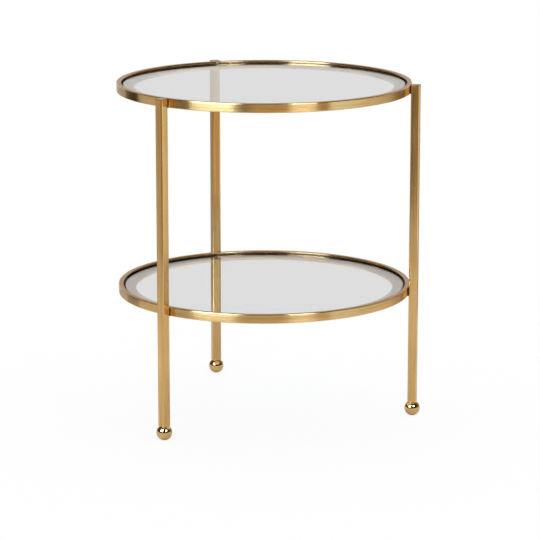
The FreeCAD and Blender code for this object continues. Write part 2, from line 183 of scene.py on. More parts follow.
# The room below the horizon: (azimuth from the camera's side to the right, brightness, colour).
GROUND = [
    (-180.0, 0.76, WHITE),
    (-168.0, 0.68, WHITE),
    (-160.0, 0.42, WHITE),
    (-142.0, 0.42, WHITE),
    (-138.0, 0.5, WHITE),
    (-134.0, 0.08, WARM),
    (-116.0, 0.03, WARM),
    (-112.0, 0.65, WHITE),
    (-96.0, 0.68, WHITE),
    (-84.0, 0.56, WHITE),
    (-79.0, 0.4, WARM),
    (-60.0, 0.12, WARM),
    (-15.0, 0.1, WARM),
    (-8.0, 0.58, WARM),
    (0.0, 0.65, WARM),
    (16.0, 0.65, WARM),
    (30.0, 0.6, WARM),
    (50.0, 0.56, WARM),
    (54.0, 1.6, COOL),
    (62.0, 1.45, COOL),
    (72.0, 1.3, COOL),
    (85.0, 0.92, WHITE),
    (98.0, 0.76, WHITE),
    (114.0, 0.55, WHITE),
    (123.0, 0.38, WARM),
    (130.0, 0.24, WARM),
    (136.0, 0.24, WARM),
    (140.0, 0.06, WARM),
    (152.0, 0.08, WARM),
    (160.0, 0.4, WHITE),
    (168.0, 0.68, WHITE),
    (180.0, 0.76, WHITE),
]

# The room above it, in the same way: a pale backdrop, and darkness elsewhere.
SKY = [
    (-180.0, 0.76, WHITE),
    (-150.0, 0.76, WHITE),
    (-136.0, 0.25, WARM),
    (-120.0, 0.08, WARM),
    (-88.0, 0.1, WARM),
    (-60.0, 0.05, WARM),
    (0.0, 0.02, WARM),
    (60.0, 0.05, WARM),
    (84.0, 0.04, WARM),
    (95.0, 0.18, WARM),
    (115.0, 0.18, WARM),
    (130.0, 0.25, WARM),
    (150.0, 0.76, WHITE),
    (180.0, 0.76, WHITE),
]

# Square soft lamps as (towards the camera's side, to the right, height, side, power).
LAMPS = {
    "left": (2.0, -1.65, 1.72, 1.76, 110.0),
    "right": (2.19, 1.27, 1.72, 0.92, 42.0),
}
LAMP_COLOUR = (0.78, 1.0, 1.35)


# ---------------------------------------------------------------- sizes from the frame


def middle(node):
    low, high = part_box(node)
    return (low + high) / 2


def size(node):
    low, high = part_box(node)
    return high - low


RING_OUTSIDE = -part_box("upper_ring")[0].x
RING_INSIDE = RING_OUTSIDE - RING_WIDTH
RING_HEIGHT = size("upper_ring").z
RING_TOPS = {tier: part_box(f"{tier}_ring")[1].z for tier in TIERS}
GLASS_RADIUS = size("upper_glass").x / 2
GLASS_DEPTH = RING_TOPS["upper"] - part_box("upper_glass")[1].z
GAP_WIDTH = RING_INSIDE - GLASS_RADIUS
LEDGE_DEPTH = RING_TOPS["upper"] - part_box("upper_ledge")[1].z
LEDGE_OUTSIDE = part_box("upper_ledge")[1].x
LEDGE_INSIDE = RING_INSIDE - LEDGE_WIDTH
LEG_SIDE = size("back_leg").x
LEG_INSIDE = RING_OUTSIDE + JOINT_GAP
LEG_REACH = LEG_INSIDE + LEG_SIDE / 2
AXIS = Vector((0.0, middle("back_leg").y - LEG_REACH, 0.0))
BUSH_RADIUS = SCREW_HEAD + BUSH_WALL
SCREW_FACE = RING_INSIDE + SCREW_SINK


def at_angle(degrees):
    """Turns a shape whose +X points outwards from the table's axis to a direction from +X."""
    return Matrix.Translation(AXIS) @ Matrix.Rotation(math.radians(degrees), 4, "Z")


# ---------------------------------------------------------------- outlines


def circle(radius, count, z=0.0):
    """Points of a level circle about the local Z axis."""
    turns = [2 * math.pi * i / count for i in range(count)]
    return [Vector((radius * math.cos(t), radius * math.sin(t), z)) for t in turns]


def rounded_square(side, corner, z=0.0):
    """Points of a level square with round corners about the local Z axis."""
    points = []
    reach = side / 2 - corner
    for quarter in range(4):
        turn = math.pi / 2 * quarter
        centre = Vector((reach, reach, 0.0))
        centre.rotate(Matrix.Rotation(turn, 3, "Z"))
        for step in range(CORNER_STEPS + 1):
            angle = turn + math.pi / 2 * step / CORNER_STEPS
            points.append(centre + Vector((corner * math.cos(angle), corner * math.sin(angle), z)))
    return points


def hole_loop(radius, z):
    """A level circle whose points lie opposite those of a rounded square."""
    points = []
    for point in rounded_square(side=2.0, corner=0.2):
        direction = point.normalized() * radius
        points.append(Vector((direction.x, direction.y, z)))
    return points


def hexagon(flats, count, z=0.0):
    """Points of a level hexagon, evenly spread over its six sides so that they match a circle's."""
    points = []
    for i in range(count):
        angle = 2 * math.pi * i / count
        off_middle = (angle + math.pi / 6) % (math.pi / 3) - math.pi / 6
        radius = flats / 2 / math.cos(off_middle)
        points.append(Vector((radius * math.cos(angle), radius * math.sin(angle), z)))
    return points


def arc(radius, start, end, steps):
    """Offsets (outwards, up) along a round edge, with angles in degrees from level."""
    angles = [math.radians(start + (end - start) * i / steps) for i in range(steps + 1)]
    return [(radius * math.cos(a), radius * math.sin(a)) for a in angles]


def disc_profile(radius, bottom, top, edge, steps):
    """From the middle of the underside, round the edge, to the middle of the top."""
    low = [(radius - edge + x, bottom + edge + z) for x, z in arc(edge, -90, 0, steps)]
    high = [(radius - edge + x, top - edge + z) for x, z in arc(edge, 0, 90, steps)]
    return [(0.0, bottom), *low, *high, (0.0, top)]


def profile_loops(profile, count):
    """Circles for a profile's (radius, height) points. A point on the axis becomes a pole."""
    return [circle(r, count, z) if r > 0 else [Vector((0.0, 0.0, z))] for r, z in profile]


def lying(loops):
    """Turns loops built about the local Z axis to lie about the X axis, outwards."""
    return [[Vector((p.z, p.x, p.y)) for p in loop] for loop in loops]


# ---------------------------------------------------------------- meshes


def skin(name, loops, closed=False):
    """A mesh of faces between loops of points that follow each other. A loop of one point is a
    pole. The first and the last loop are filled, or are joined to each other if it is closed."""
    mesh = bmesh.new()
    rows = [[mesh.verts.new(point) for point in loop] for loop in loops]
    pairs = list(zip(rows, rows[1:]))
    if closed:
        pairs.append((rows[-1], rows[0]))
    for low, high in pairs:
        count = max(len(low), len(high))
        for i in range(count):
            following = (i + 1) % count
            if len(low) == 1:
                mesh.faces.new((low[0], high[following], high[i]))
            elif len(high) == 1:
                mesh.faces.new((low[i], low[following], high[0]))
            else:
                mesh.faces.new((low[i], low[following], high[following], high[i]))
    if not closed:
        for row in (rows[0], rows[-1]):
            if len(row) > 2:
                mesh.faces.new(row)
    bmesh.ops.recalc_face_normals(mesh, faces=mesh.faces)
    data = bpy.data.meshes.new(name)
    mesh.to_mesh(data)
    mesh.free()
    return new_object(name, data)


def new_object(name, data):
    piece = bpy.data.objects.new(name, data)
    bpy.context.scene.collection.objects.link(piece)
    return piece


def bake(piece):
    """Gives the piece its modifiers' result as its own plain mesh."""
    bpy.context.view_layer.update()
    depsgraph = bpy.context.evaluated_depsgraph_get()
    data = bpy.data.meshes.new_from_object(piece.evaluated_get(depsgraph), depsgraph=depsgraph)
    piece.modifiers.clear()
    piece.data = data
    data.name = piece.name
    return piece


def shade(piece):
    """Smooth shading that keeps sharp edges. Large faces keep their own direction."""
    piece.data.shade_smooth()
    piece.data.set_sharp_from_angle(angle=math.radians(SHARP_EDGE))
    modifier = piece.modifiers.new("Weighted normals", "WEIGHTED_NORMAL")
    modifier.keep_sharp = True
    return bake(piece)


# ---------------------------------------------------------------- node trees


def add(tree, kind, values=None, **settings):
    """A new node with its settings. A value is put on its input, and a socket is linked to it."""
    node = tree.nodes.new(kind)
    for name, value in settings.items():
        setattr(node, name, value)
    for name, value in (values or {}).items():
        socket = node.inputs[name]
        if isinstance(value, bpy.types.NodeSocket):
            tree.links.new(value, socket)
        else:
            socket.default_value = value
    return node


def calculate(tree, operation, *values):
    """The result of a math node on numbers or sockets."""
    return add(tree, "ShaderNodeMath", dict(enumerate(values)), operation=operation).outputs[0]


# Places of a mix node's factor, two colours and result among its sockets.
MIX_INPUTS = (0, 6, 7)
MIX_RESULT = 2

SOCKETS = {
    float: "NodeSocketFloat",
    int: "NodeSocketInt",
    "object": "NodeSocketObject",
    "material": "NodeSocketMaterial",
}


def geometry_tree(name, inputs):
    """A geometry node tree with named inputs, and the sockets that bring them in."""
    tree = bpy.data.node_groups.new(name, "GeometryNodeTree")
    tree.is_modifier = True
    tree.interface.new_socket("Geometry", in_out="INPUT", socket_type="NodeSocketGeometry")
    for label, kind in inputs.items():
        tree.interface.new_socket(label, in_out="INPUT", socket_type=SOCKETS[kind])
    tree.interface.new_socket("Geometry", in_out="OUTPUT", socket_type="NodeSocketGeometry")
    return tree, add(tree, "NodeGroupInput").outputs


def end_tree(tree, geometry, axis_y, height, material):
    """Moves the geometry to the table's axis and a height, and ends it plain and painted."""
    offset = add(tree, "ShaderNodeCombineXYZ", {"Y": axis_y, "Z": height})
    moved = add(tree, "GeometryNodeTransform", {
        "Geometry": geometry,
        "Translation": offset.outputs[0],
    })
    plain = add(tree, "GeometryNodeRealizeInstances", {"Geometry": moved.outputs[0]})
    painted = add(tree, "GeometryNodeSetMaterial", {
        "Geometry": plain.outputs[0],
        "Material": material,
    })
    add(tree, "NodeGroupOutput", {"Geometry": painted.outputs[0]})


def spread_round(tree, template, count, turn):
    """Copies of a geometry, evenly spread about the Z axis from a first turn in degrees."""
    points = add(tree, "GeometryNodePoints", {"Count": count})
    index = add(tree, "GeometryNodeInputIndex").outputs[0]
    step = calculate(tree, "DIVIDE", 2 * math.pi, count)
    angle = calculate(tree, "MULTIPLY_ADD", index, step, calculate(tree, "RADIANS", turn))
    euler = add(tree, "ShaderNodeCombineXYZ", {"Z": angle})
    rotation = add(tree, "FunctionNodeEulerToRotation", {"Euler": euler.outputs[0]})
    return add(tree, "GeometryNodeInstanceOnPoints", {
        "Points": points.outputs[0],
        "Instance": template,
        "Rotation": rotation.outputs[0],
    }).outputs[0]


def grow(name, tree, values):
    """A plain mesh made by a geometry tree with these values for its inputs."""
    piece = new_object(name, bpy.data.meshes.new(name))
    modifier = piece.modifiers.new(tree.name, "NODES")
    modifier.node_group = tree
    for item in tree.interface.items_tree:
        if item.in_out == "INPUT" and item.name in values:
            modifier[item.identifier] = values[item.name]
    return bake(piece)


def copies_tree():
    """Copies of an object, evenly spread round the table's axis and turned to face outwards."""
    inputs = {"Template": "object", "Count": int, "Turn": float, "Axis Y": float, "Height": float}
    inputs["Material"] = "material"
    tree, given = geometry_tree("Copies round the axis", inputs)
    template = add(tree, "GeometryNodeObjectInfo", {"Object": given["Template"]})
    copied = spread_round(tree, template.outputs["Geometry"], given["Count"], given["Turn"])
    end_tree(tree, copied, given["Axis Y"], given["Height"], given["Material"])
    return tree


def ring_tree():
    """A rectangular section with round corners, swept round the table's axis and drilled through
    from the outside at even steps. Without a drill radius it isn't drilled."""
    inputs = {"Outside": float, "Width": float, "Height": float, "Corner": float, "Bottom": float}
    inputs |= {"Drill radius": float, "Drill count": int, "Turn": float, "Axis Y": float}
    inputs |= {"Segments": int, "Corner steps": int, "Material": "material"}
    tree, given = geometry_tree("Ring of rectangular section", inputs)
    half_width = calculate(tree, "MULTIPLY", given["Width"], 0.5)
    half_height = calculate(tree, "MULTIPLY", given["Height"], 0.5)
    radius = calculate(tree, "SUBTRACT", given["Outside"], half_width)
    path = add(tree, "GeometryNodeCurvePrimitiveCircle", {
        "Resolution": given["Segments"],
        "Radius": radius,
    })
    level = add(tree, "GeometryNodeSetCurveNormal", {"Curve": path.outputs[0]}, mode="Z_UP")
    section = add(tree, "GeometryNodeCurvePrimitiveQuadrilateral", {
        "Width": given["Width"],
        "Height": given["Height"],
    })
    rounded = add(tree, "GeometryNodeFilletCurve", {
        "Curve": section.outputs[0],
        "Count": given["Corner steps"],
        "Radius": given["Corner"],
    }, mode="POLY")
    swept = add(tree, "GeometryNodeCurveToMesh", {
        "Curve": level.outputs[0],
        "Profile Curve": rounded.outputs[0],
    })
    drill = add(tree, "GeometryNodeMeshCylinder", {
        "Vertices": HARDWARE_SEGMENTS,
        "Radius": given["Drill radius"],
        "Depth": calculate(tree, "MULTIPLY", given["Width"], 2.0),
    })
    across = add(tree, "GeometryNodeTransform", {
        "Geometry": drill.outputs["Mesh"],
        "Translation": add(tree, "ShaderNodeCombineXYZ", {"X": radius}).outputs[0],
        "Rotation": (0.0, math.pi / 2, 0.0),
    })
    drills = spread_round(tree, across.outputs[0], given["Drill count"], given["Turn"])
    cutters = add(tree, "GeometryNodeRealizeInstances", {"Geometry": drills})
    drilled = add(tree, "GeometryNodeMeshBoolean", {
        "Mesh 1": swept.outputs[0],
        "Mesh 2": cutters.outputs[0],
    }, operation="DIFFERENCE")
    chosen = add(tree, "GeometryNodeSwitch", {
        "Switch": calculate(tree, "GREATER_THAN", given["Drill radius"], 0.0),
        "False": swept.outputs[0],
        "True": drilled.outputs["Mesh"],
    }, input_type="GEOMETRY")
    height = calculate(tree, "ADD", given["Bottom"], half_height)
    end_tree(tree, chosen.outputs[0], given["Axis Y"], height, given["Material"])
    return tree


# ---------------------------------------------------------------- patterns


def spread(tree, value, low, high, to_low, to_high):
    """A value's range mapped onto another one and held inside it."""
    ends = {"Value": value, "From Min": low, "From Max": high, "To Min": to_low, "To Max": to_high}
    return add(tree, "ShaderNodeMapRange", ends).outputs[0]


def smooth_step(tree, value, start, end):
    """0 below start and 1 above end, or the other way round."""
    ends = {"Value": value, "From Min": start, "From Max": end}
    return add(tree, "ShaderNodeMapRange", ends, interpolation_type="SMOOTHSTEP").outputs[0]


def weighted(tree, first, second, share):
    """The mean of two values, of which the first counts for a share."""
    rest = calculate(tree, "MULTIPLY", second, 1 - share)
    return calculate(tree, "MULTIPLY_ADD", first, share, rest)


def mix_colours(tree, factor, first, second):
    """A blend of two colours, each a socket or a plain colour. A mix node has sockets of the same
    names for numbers, vectors and colours, so they are told apart by their places."""
    colours = [c if isinstance(c, bpy.types.NodeSocket) else (*c, 1.0) for c in (first, second)]
    values = dict(zip(MIX_INPUTS, (factor, *colours)))
    return add(tree, "ShaderNodeMix", values, data_type="RGBA").outputs[MIX_RESULT]


def place(tree):
    """Object coordinates measured from the table's axis."""
    corner = add(tree, "ShaderNodeTexCoord").outputs["Object"]
    return add(tree, "ShaderNodeMapping", {"Vector": corner, "Location": tuple(-AXIS)}).outputs[0]


def scaled(tree, vector, scale):
    return add(tree, "ShaderNodeVectorMath", {0: vector, 1: scale}, operation="MULTIPLY").outputs[0]


def from_axis(tree, position):
    """How far a place is from the table's axis."""
    level = scaled(tree, position, (1.0, 1.0, 0.0))
    return add(tree, "ShaderNodeVectorMath", {0: level}, operation="LENGTH").outputs["Value"]


def noise(tree, vector, detail=3.0, roughness=0.5, w=None):
    """Noise between 0 and 1 at a scaled place, in four dimensions where w is given."""
    values = {"Vector": vector, "Scale": 1.0, "Detail": detail, "Roughness": roughness}
    if w is not None:
        values["W"] = w
    dimensions = "3D" if w is None else "4D"
    return add(tree, "ShaderNodeTexNoise", values, noise_dimensions=dimensions).outputs[0]


def texture(tree, grains, detail=3.0, roughness=0.5):
    """Noise with so many grains in a metre along X, Y and Z."""
    return noise(tree, scaled(tree, place(tree), grains), detail, roughness)


def brush_lines(tree, direction, line):
    """Noise drawn out into lines of a length and width, round the table's axis or upright."""
    position = place(tree)
    along, across = [1 / extent for extent in line]
    if direction == "upright":
        return noise(tree, scaled(tree, position, (across, across, along)))
    depth = calculate(tree, "MULTIPLY", from_axis(tree, position), across)
    return noise(tree, scaled(tree, position, (along, along, across)), w=depth)


def relief(tree, height, strength, distance):
    """Surface directions for a fine relief."""
    values = {"Strength": strength, "Distance": distance, "Height": height}
    return add(tree, "ShaderNodeBump", values).outputs[0]


def painted_gap_shade(tree, colour):
    """The colour with painted shade: dark beside and below the glass edge, where light doesn't reach.
    """
    position = place(tree)
    height = add(tree, "ShaderNodeSeparateXYZ", {0: position}).outputs["Z"]
    below = calculate(tree, "SUBTRACT", RING_TOPS["upper"], height)
    depth = calculate(tree, "FLOORED_MODULO", below, RING_TOPS["upper"] - RING_TOPS["lower"])
    off_wall = calculate(tree, "SUBTRACT", from_axis(tree, position), RING_INSIDE)
    away = calculate(tree, "ABSOLUTE", off_wall)
    beside = smooth_step(tree, away, GAP_WIDTH + GAP_BLUR, GAP_WIDTH - GAP_BLUR)
    under = smooth_step(tree, depth, GLASS_DEPTH, GLASS_DEPTH + GAP_TOP)
    above = smooth_step(tree, depth, *[LEDGE_DEPTH + extra for extra in GAP_BOTTOM])
    share = calculate(tree, "MULTIPLY", beside, calculate(tree, "MULTIPLY", under, above))
    return mix_colours(tree, share, colour, GAP_PAINTED_SHADE)


# ---------------------------------------------------------------- materials


def new_material(name):
    """A material whose tree is still empty."""
    paint = bpy.data.materials.new(name)
    paint.use_nodes = True
    paint.node_tree.nodes.clear()
    return paint, paint.node_tree


def surface(tree, values):
    """Ends a material's tree in one principled shader."""
    shader = add(tree, "ShaderNodeBsdfPrincipled", values)
    add(tree, "ShaderNodeOutputMaterial", {"Surface": shader.outputs[0]})


def lacquered(tree, values, lacquer):
    """Ends a brass material's tree, with a coat of clear lacquer over it."""
    surface(tree, values | {
        "Metallic": 1.0,
        "Coat Weight": lacquer,
        "Coat Roughness": LACQUER_ROUGHNESS,
        "Coat IOR": LACQUER_IOR,
    })


def brushed_brass(name, direction, tones, roughness, drawn, evenness):
    """Satin brass, brushed round the table's axis or up and down, so that reflections are drawn
    out across the brush lines. Its tone drifts a little, as it does under a clear lacquer."""
    paint, tree = new_material(name)
    fine = brush_lines(tree, direction, FINE_LINES)
    broad = brush_lines(tree, direction, BROAD_LINES)
    lines = weighted(tree, fine, broad, FINE_SHARE)
    tone = weighted(tree, lines, texture(tree, TONE_DRIFT, detail=2.0), LINE_SHARE)
    lightness = spread(tree, tone, 0.5 - evenness, 0.5 + evenness, 0.0, 1.0)
    colour = mix_colours(tree, lightness, *tones)
    lacquered(tree, {
        # Brass brushed round the axis gets painted shade in the gap by the glass edge.
        "Base Color": painted_gap_shade(tree, colour) if direction == "round" else colour,
        "Roughness": spread(tree, lines, 0.35, 0.65, roughness - ROUGHER, roughness + ROUGHER),
        "Anisotropic": drawn,
        "Anisotropic Rotation": QUARTER_TURN if direction == "round" else 0.0,
        "Tangent": add(tree, "ShaderNodeTangent", direction_type="RADIAL", axis="Z").outputs[0],
        "Normal": relief(tree, lines, strength=0.14, distance=0.00004),
    }, TUBE_LACQUER)
    return paint


def satin_brass(name):
    """Satin brass of plates and level faces, brushed too finely to draw out reflections. Its darker
    tones are painted shade.
    """
    paint, tree = new_material(name)
    lines = texture(tree, PLATE_GRAIN)
    lightness = spread(tree, lines, 0.35, 0.65, 0.0, 1.0)
    lacquered(tree, {
        # Painted shade darkens these faces in the gap by the glass edge.
        "Base Color": painted_gap_shade(tree, mix_colours(tree, lightness, *SHADED_PLATE_TONES)),
        "Roughness": spread(tree, lines, 0.3, 0.7, 0.22, 0.3),
        "Specular Tint": PLATE_GLINT,
        "Normal": relief(tree, lines, strength=0.05, distance=0.00002),
    }, PLATE_LACQUER)
    return paint


def polished_brass(name):
    """Mirror brass with faint buffing lines and clouds in its gloss."""
    paint, tree = new_material(name)
    buffed = texture(tree, BUFFING)
    cloud = texture(tree, POLISH_CLOUD, detail=2.0)
    gloss = weighted(tree, buffed, cloud, 0.5)
    surface(tree, {
        "Base Color": mix_colours(tree, cloud, *POLISHED_TONES),
        "Metallic": 1.0,
        "Roughness": spread(tree, gloss, 0.35, 0.65, 0.03, 0.075),
        "Normal": relief(tree, buffed, strength=0.05, distance=0.00001),
    })
    return paint


def clear_glass(name):
    """Clear float glass, a little grey in its thickness, with faint wiping marks in its gloss."""
    paint, tree = new_material(name)
    wiped = texture(tree, WIPING, detail=4.0, roughness=0.6)
    surface(tree, {
        "Base Color": mix_colours(tree, wiped, *GLASS_TONES),
        "Roughness": spread(tree, wiped, 0.5, 0.8, 0.0, 0.012),
        "IOR": 1.52,
        "Transmission Weight": 1.0,
    })
    return paint


def ground_glass(name):
    """The glass disc's ground edge, matt and finely frosted. Its near-black tone is partly a glass
    edge's own dark look and partly painted shade of the gap beside it.
    """
    paint, tree = new_material(name)
    frost = texture(tree, FROST, detail=2.0)
    surface(tree, {
        "Base Color": mix_colours(tree, frost, *GROUND_EDGE_AND_SHADE_TONES),
        "Roughness": spread(tree, frost, 0.3, 0.7, 0.5, 0.65),
        "IOR": 1.15,
    })
    return paint


def clear_bumper(name):
    """Soft clear plastic, slightly hazy and speckled with fine bubbles."""
    paint, tree = new_material(name)
    bubbles = texture(tree, BUBBLES)
    surface(tree, {
        "Base Color": mix_colours(tree, bubbles, *BUMPER_TONES),
        "Roughness": spread(tree, bubbles, 0.3, 0.7, 0.06, 0.16),
        "IOR": 1.42,
        "Transmission Weight": 0.85,
    })
    return paint


def zinc_steel(name, tones):
    """Zinc-plated steel with a crystalline mottle and fine turning lines."""
    paint, tree = new_material(name)
    mottle = texture(tree, CRYSTALS)
    turned = texture(tree, TURNING, detail=2.0)
    surface(tree, {
        "Base Color": mix_colours(tree, mottle, *tones),
        "Metallic": 1.0,
        "Roughness": spread(tree, mottle, 0.3, 0.7, 0.26, 0.42),
        "Normal": relief(tree, turned, strength=0.15, distance=0.00003),
    })
    return paint


def dark_spacer(name):
    """Black moulded plastic with a fine matt grain."""
    paint, tree = new_material(name)
    specks = texture(tree, MOULD_GRAIN, detail=4.0, roughness=0.6)
    surface(tree, {
        "Base Color": mix_colours(tree, specks, *PLASTIC_TONES),
        "Roughness": spread(tree, specks, 0.3, 0.7, 0.5, 0.7),
        "Normal": relief(tree, specks, strength=0.3, distance=0.00005),
    })
    return paint


def pale_floor(name):
    """A plain pale floor. Where it is seen directly most of it shines as white as the background,
    and the rest of it takes the object's soft shadow."""
    paint, tree = new_material(name)
    seen = add(tree, "ShaderNodeLightPath").outputs["Is Camera Ray"]
    cloud = texture(tree, FLOOR_CLOUD, detail=2.0)
    tone = spread(tree, cloud, 0.3, 0.7, FLOOR_TONE - FLOOR_DRIFT, FLOOR_TONE + FLOOR_DRIFT)
    matt = add(tree, "ShaderNodeBsdfDiffuse", {"Color": tone})
    lit = calculate(tree, "MULTIPLY", tone, 1.0 - FLOOR_GLOW)
    strength = calculate(tree, "DIVIDE", calculate(tree, "SUBTRACT", 1.0, lit), FLOOR_GLOW)
    glow = add(tree, "ShaderNodeEmission", {"Strength": strength})
    share = calculate(tree, "MULTIPLY", seen, FLOOR_GLOW)
    mixed = add(tree, "ShaderNodeMixShader", {0: share, 1: matt.outputs[0], 2: glow.outputs[0]})
    add(tree, "ShaderNodeOutputMaterial", {"Surface": mixed.outputs[0]})
    return paint


# ---------------------------------------------------------------- studio


def horizontal(azimuth):
    turn = math.radians(azimuth)
    return Vector((math.sin(turn), -math.cos(turn), 0.0))


TOWARDS_CAMERA = horizontal(VIEW_AZIMUTH)
TO_THE_RIGHT = horizontal(VIEW_AZIMUTH + 90.0)


def dot(tree, vector, direction):
    values = {0: vector, 1: tuple(direction)}
    return add(tree, "ShaderNodeVectorMath", values, operation="DOT_PRODUCT").outputs["Value"]


def round_ramp(tree, turn, stops):
    """The colours of stops round the room, where a turn from 0 to 1 goes once round."""
    ramp = add(tree, "ShaderNodeValToRGB", {"Fac": turn})
    elements = ramp.color_ramp.elements
    while len(elements) < len(stops):
        elements.new(0.5)
    for element, (angle, level, colour) in zip(elements, stops):
        element.position = (angle + 180) / 360
        element.color = (*[level * part for part in colour], 1.0)
    return ramp.outputs["Color"]


def studio_world():
    """Even white light on matt surfaces and behind the object. Metal and glass reflect the room:
    pale behind the table, and darker in front of it and above. Glass lets a pale grey through."""
    world = bpy.data.worlds.new("Studio")
    world.use_nodes = True
    world.cycles.sampling_method = "NONE"
    bpy.context.scene.world = world
    tree = world.node_tree
    tree.nodes.clear()
    direction = add(tree, "ShaderNodeTexCoord").outputs["Generated"]
    ahead = dot(tree, direction, TOWARDS_CAMERA)
    aside = dot(tree, direction, TO_THE_RIGHT)
    up = dot(tree, direction, (0.0, 0.0, 1.0))
    azimuth = calculate(tree, "DEGREES", calculate(tree, "ARCTAN2", aside, ahead))
    elevation = calculate(tree, "DEGREES", calculate(tree, "ARCSINE", up))
    turn = spread(tree, azimuth, -180.0, 180.0, 0.0, 1.0)
    height = smooth_step(tree, elevation, HORIZON - HORIZON_SOFT, HORIZON + HORIZON_SOFT)
    walls = mix_colours(tree, height, round_ramp(tree, turn, GROUND), round_ramp(tree, turn, SKY))
    top = smooth_step(tree, elevation, CEILING - CEILING_SOFT, CEILING + CEILING_SOFT)
    room = mix_colours(tree, top, walls, [CEILING_LEVEL * part for part in WHITE])
    rays = add(tree, "ShaderNodeLightPath").outputs
    seen = mix_colours(tree, rays["Is Glossy Ray"], WHITE, room)
    behind_glass = [THROUGH_GLASS * part for part in WHITE]
    colour = mix_colours(tree, rays["Is Transmission Ray"], seen, behind_glass)
    background = add(tree, "ShaderNodeBackground", {"Color": colour, "Strength": 1.0})
    add(tree, "ShaderNodeOutputWorld", {"Surface": background.outputs[0]})


def studio_lamps():
    """Square diffused lamps on the camera's side, seen by metal and glass alone."""
    for name, (near, aside, height, side, power) in LAMPS.items():
        data = bpy.data.lights.new(f"{name} lamp", "AREA")
        data.shape = "SQUARE"
        data.size = side
        data.energy = power
        data.color = LAMP_COLOUR
        lamp = new_object(data.name, data)
        lamp.location = AXIS + TOWARDS_CAMERA * near + TO_THE_RIGHT * aside
        lamp.location.z = height
        lamp.rotation_euler = (lamp.location - AXIS).to_track_quat("Z", "Y").to_euler()
        lamp.visible_camera = False
        lamp.visible_diffuse = False
        lamp.visible_transmission = False


def floor(paint):
    """A round floor under the table."""
    piece = skin("floor", [circle(FLOOR_RADIUS, FLOOR_SEGMENTS, z) for z in (-FLOOR_THICKNESS, 0.0)])
    piece.data.transform(Matrix.Translation(TOWARDS_CAMERA * FLOOR_SHIFT))
    piece.data.materials.append(paint)


def stand_camera():
    data = bpy.data.cameras.new("Camera")
    data.lens = CAMERA_LENS
    camera = new_object("Camera", data)
    camera.location = AXIS + TOWARDS_CAMERA * CAMERA_DISTANCE + TO_THE_RIGHT * CAMERA_SIDESTEP
    camera.location.z = CAMERA_HEIGHT
    camera.rotation_euler = (math.radians(90.0 - CAMERA_PITCH), 0.0, math.radians(VIEW_AZIMUTH))
    bpy.context.scene.camera = camera


# ---------------------------------------------------------------- rings, ledges and glass


def hand_over(piece, body, slot, *nodes):
    """The piece rides on its body and stands for its nodes, which are hidden. The slot is not used."""
    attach(piece, body)
    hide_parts(*nodes)


def paint_with(piece, paint, level_paint=None, inner_paint=None):
    """One paint all over, or others on the level faces and on those that point at the axis."""
    paints = [paint, level_paint or paint, inner_paint or paint]
    piece.data.materials.clear()
    for choice in dict.fromkeys(paints):
        piece.data.materials.append(choice)
    for face in piece.data.polygons:
        outwards = (face.center - AXIS).xy.normalized()
        choice = paint
        if abs(face.normal.z) > LEVEL_FACE:
            choice = paints[1]
        elif face.normal.xy.dot(outwards) < -INNER_FACE:
            choice = paints[2]
        face.material_index = piece.data.materials.find(choice.name)
    return piece


def build_rings(tree, paint, level_paint, inner_paint):
    for tier in TIERS:
        low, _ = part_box(f"{tier}_ring")
        ring = grow(f"{tier}_ring_tube", tree, {
            "Outside": RING_OUTSIDE,
            "Width": RING_WIDTH,
            "Height": RING_HEIGHT,
            "Corner": RING_CORNER,
            "Bottom": low.z,
            "Drill radius": BUSH_RADIUS + BUSH_PLAY,
            "Drill count": LEGS,
            "Turn": LEG_ANGLES["right"],
            "Axis Y": AXIS.y,
            "Segments": RING_SEGMENTS,
            "Corner steps": CORNER_STEPS,
            "Material": paint,
        })
        paint_with(shade(ring), paint, level_paint, inner_paint)
        hand_over(ring, "frame", "brushed_brass", f"{tier}_ring")


def build_ledges(tree, paint, level_paint):
    for tier in TIERS:
        low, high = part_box(f"{tier}_ledge")
        ledge = grow(f"{tier}_ledge_bar", tree, {
            "Outside": LEDGE_OUTSIDE,
            "Width": LEDGE_OUTSIDE - LEDGE_INSIDE,
            "Height": high.z - low.z,
            "Corner": LEDGE_EDGE,
            "Bottom": low.z,
            "Drill radius": 0.0,
            "Drill count": 1,
            "Turn": 0.0,
            "Axis Y": AXIS.y,
            "Segments": RING_SEGMENTS,
            "Corner steps": CORNER_STEPS,
            "Material": paint,
        })
        paint_with(shade(ledge), paint, level_paint)
        hand_over(ledge, "frame", "brushed_brass", f"{tier}_ledge")


def build_glass(paint, edge_paint):
    for tier, body in TIERS.items():
        low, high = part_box(f"{tier}_glass")
        profile = disc_profile(GLASS_RADIUS, low.z, high.z, GLASS_EDGE, GLASS_EDGE_STEPS)
        pane = skin(f"{tier}_glass_pane", profile_loops(profile, RING_SEGMENTS))
        pane.data.transform(at_angle(0.0))
        paint_with(shade(pane), edge_paint, level_paint=paint)
        hand_over(pane, body, "clear_glass", f"{tier}_glass")


# ---------------------------------------------------------------- bumpers and joints


def pad_template():
    """One bumper, a hair lower than the space it fills. Its middle is at height 0."""
    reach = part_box("upper_glass_pads")[1].y - AXIS.y
    half = size("upper_glass_pads").z / 2 - PAD_PLAY
    profile = disc_profile(PAD_RADIUS, -half, half, PAD_EDGE, PAD_EDGE_STEPS)
    pad = skin("pad_template", profile_loops(profile, HARDWARE_SEGMENTS))
    pad.data.transform(Matrix.Translation((reach - PAD_RADIUS, 0.0, 0.0)))
    return pad


def bush_template():
    """One bush through the ring, countersunk for the screw's head. Its axis is at height 0."""
    head = SCREW_HEAD + BUSH_PLAY
    hole = SCREW_RADIUS + BUSH_PLAY
    profile = [
        (BUSH_RADIUS, RING_INSIDE),
        (BUSH_RADIUS, RING_OUTSIDE),
        (hole, RING_OUTSIDE),
        (hole, SCREW_FACE + head - hole),
        (head, SCREW_FACE),
        (head, RING_INSIDE),
    ]
    return skin("bush_template", lying(profile_loops(profile, HARDWARE_SEGMENTS)), closed=True)


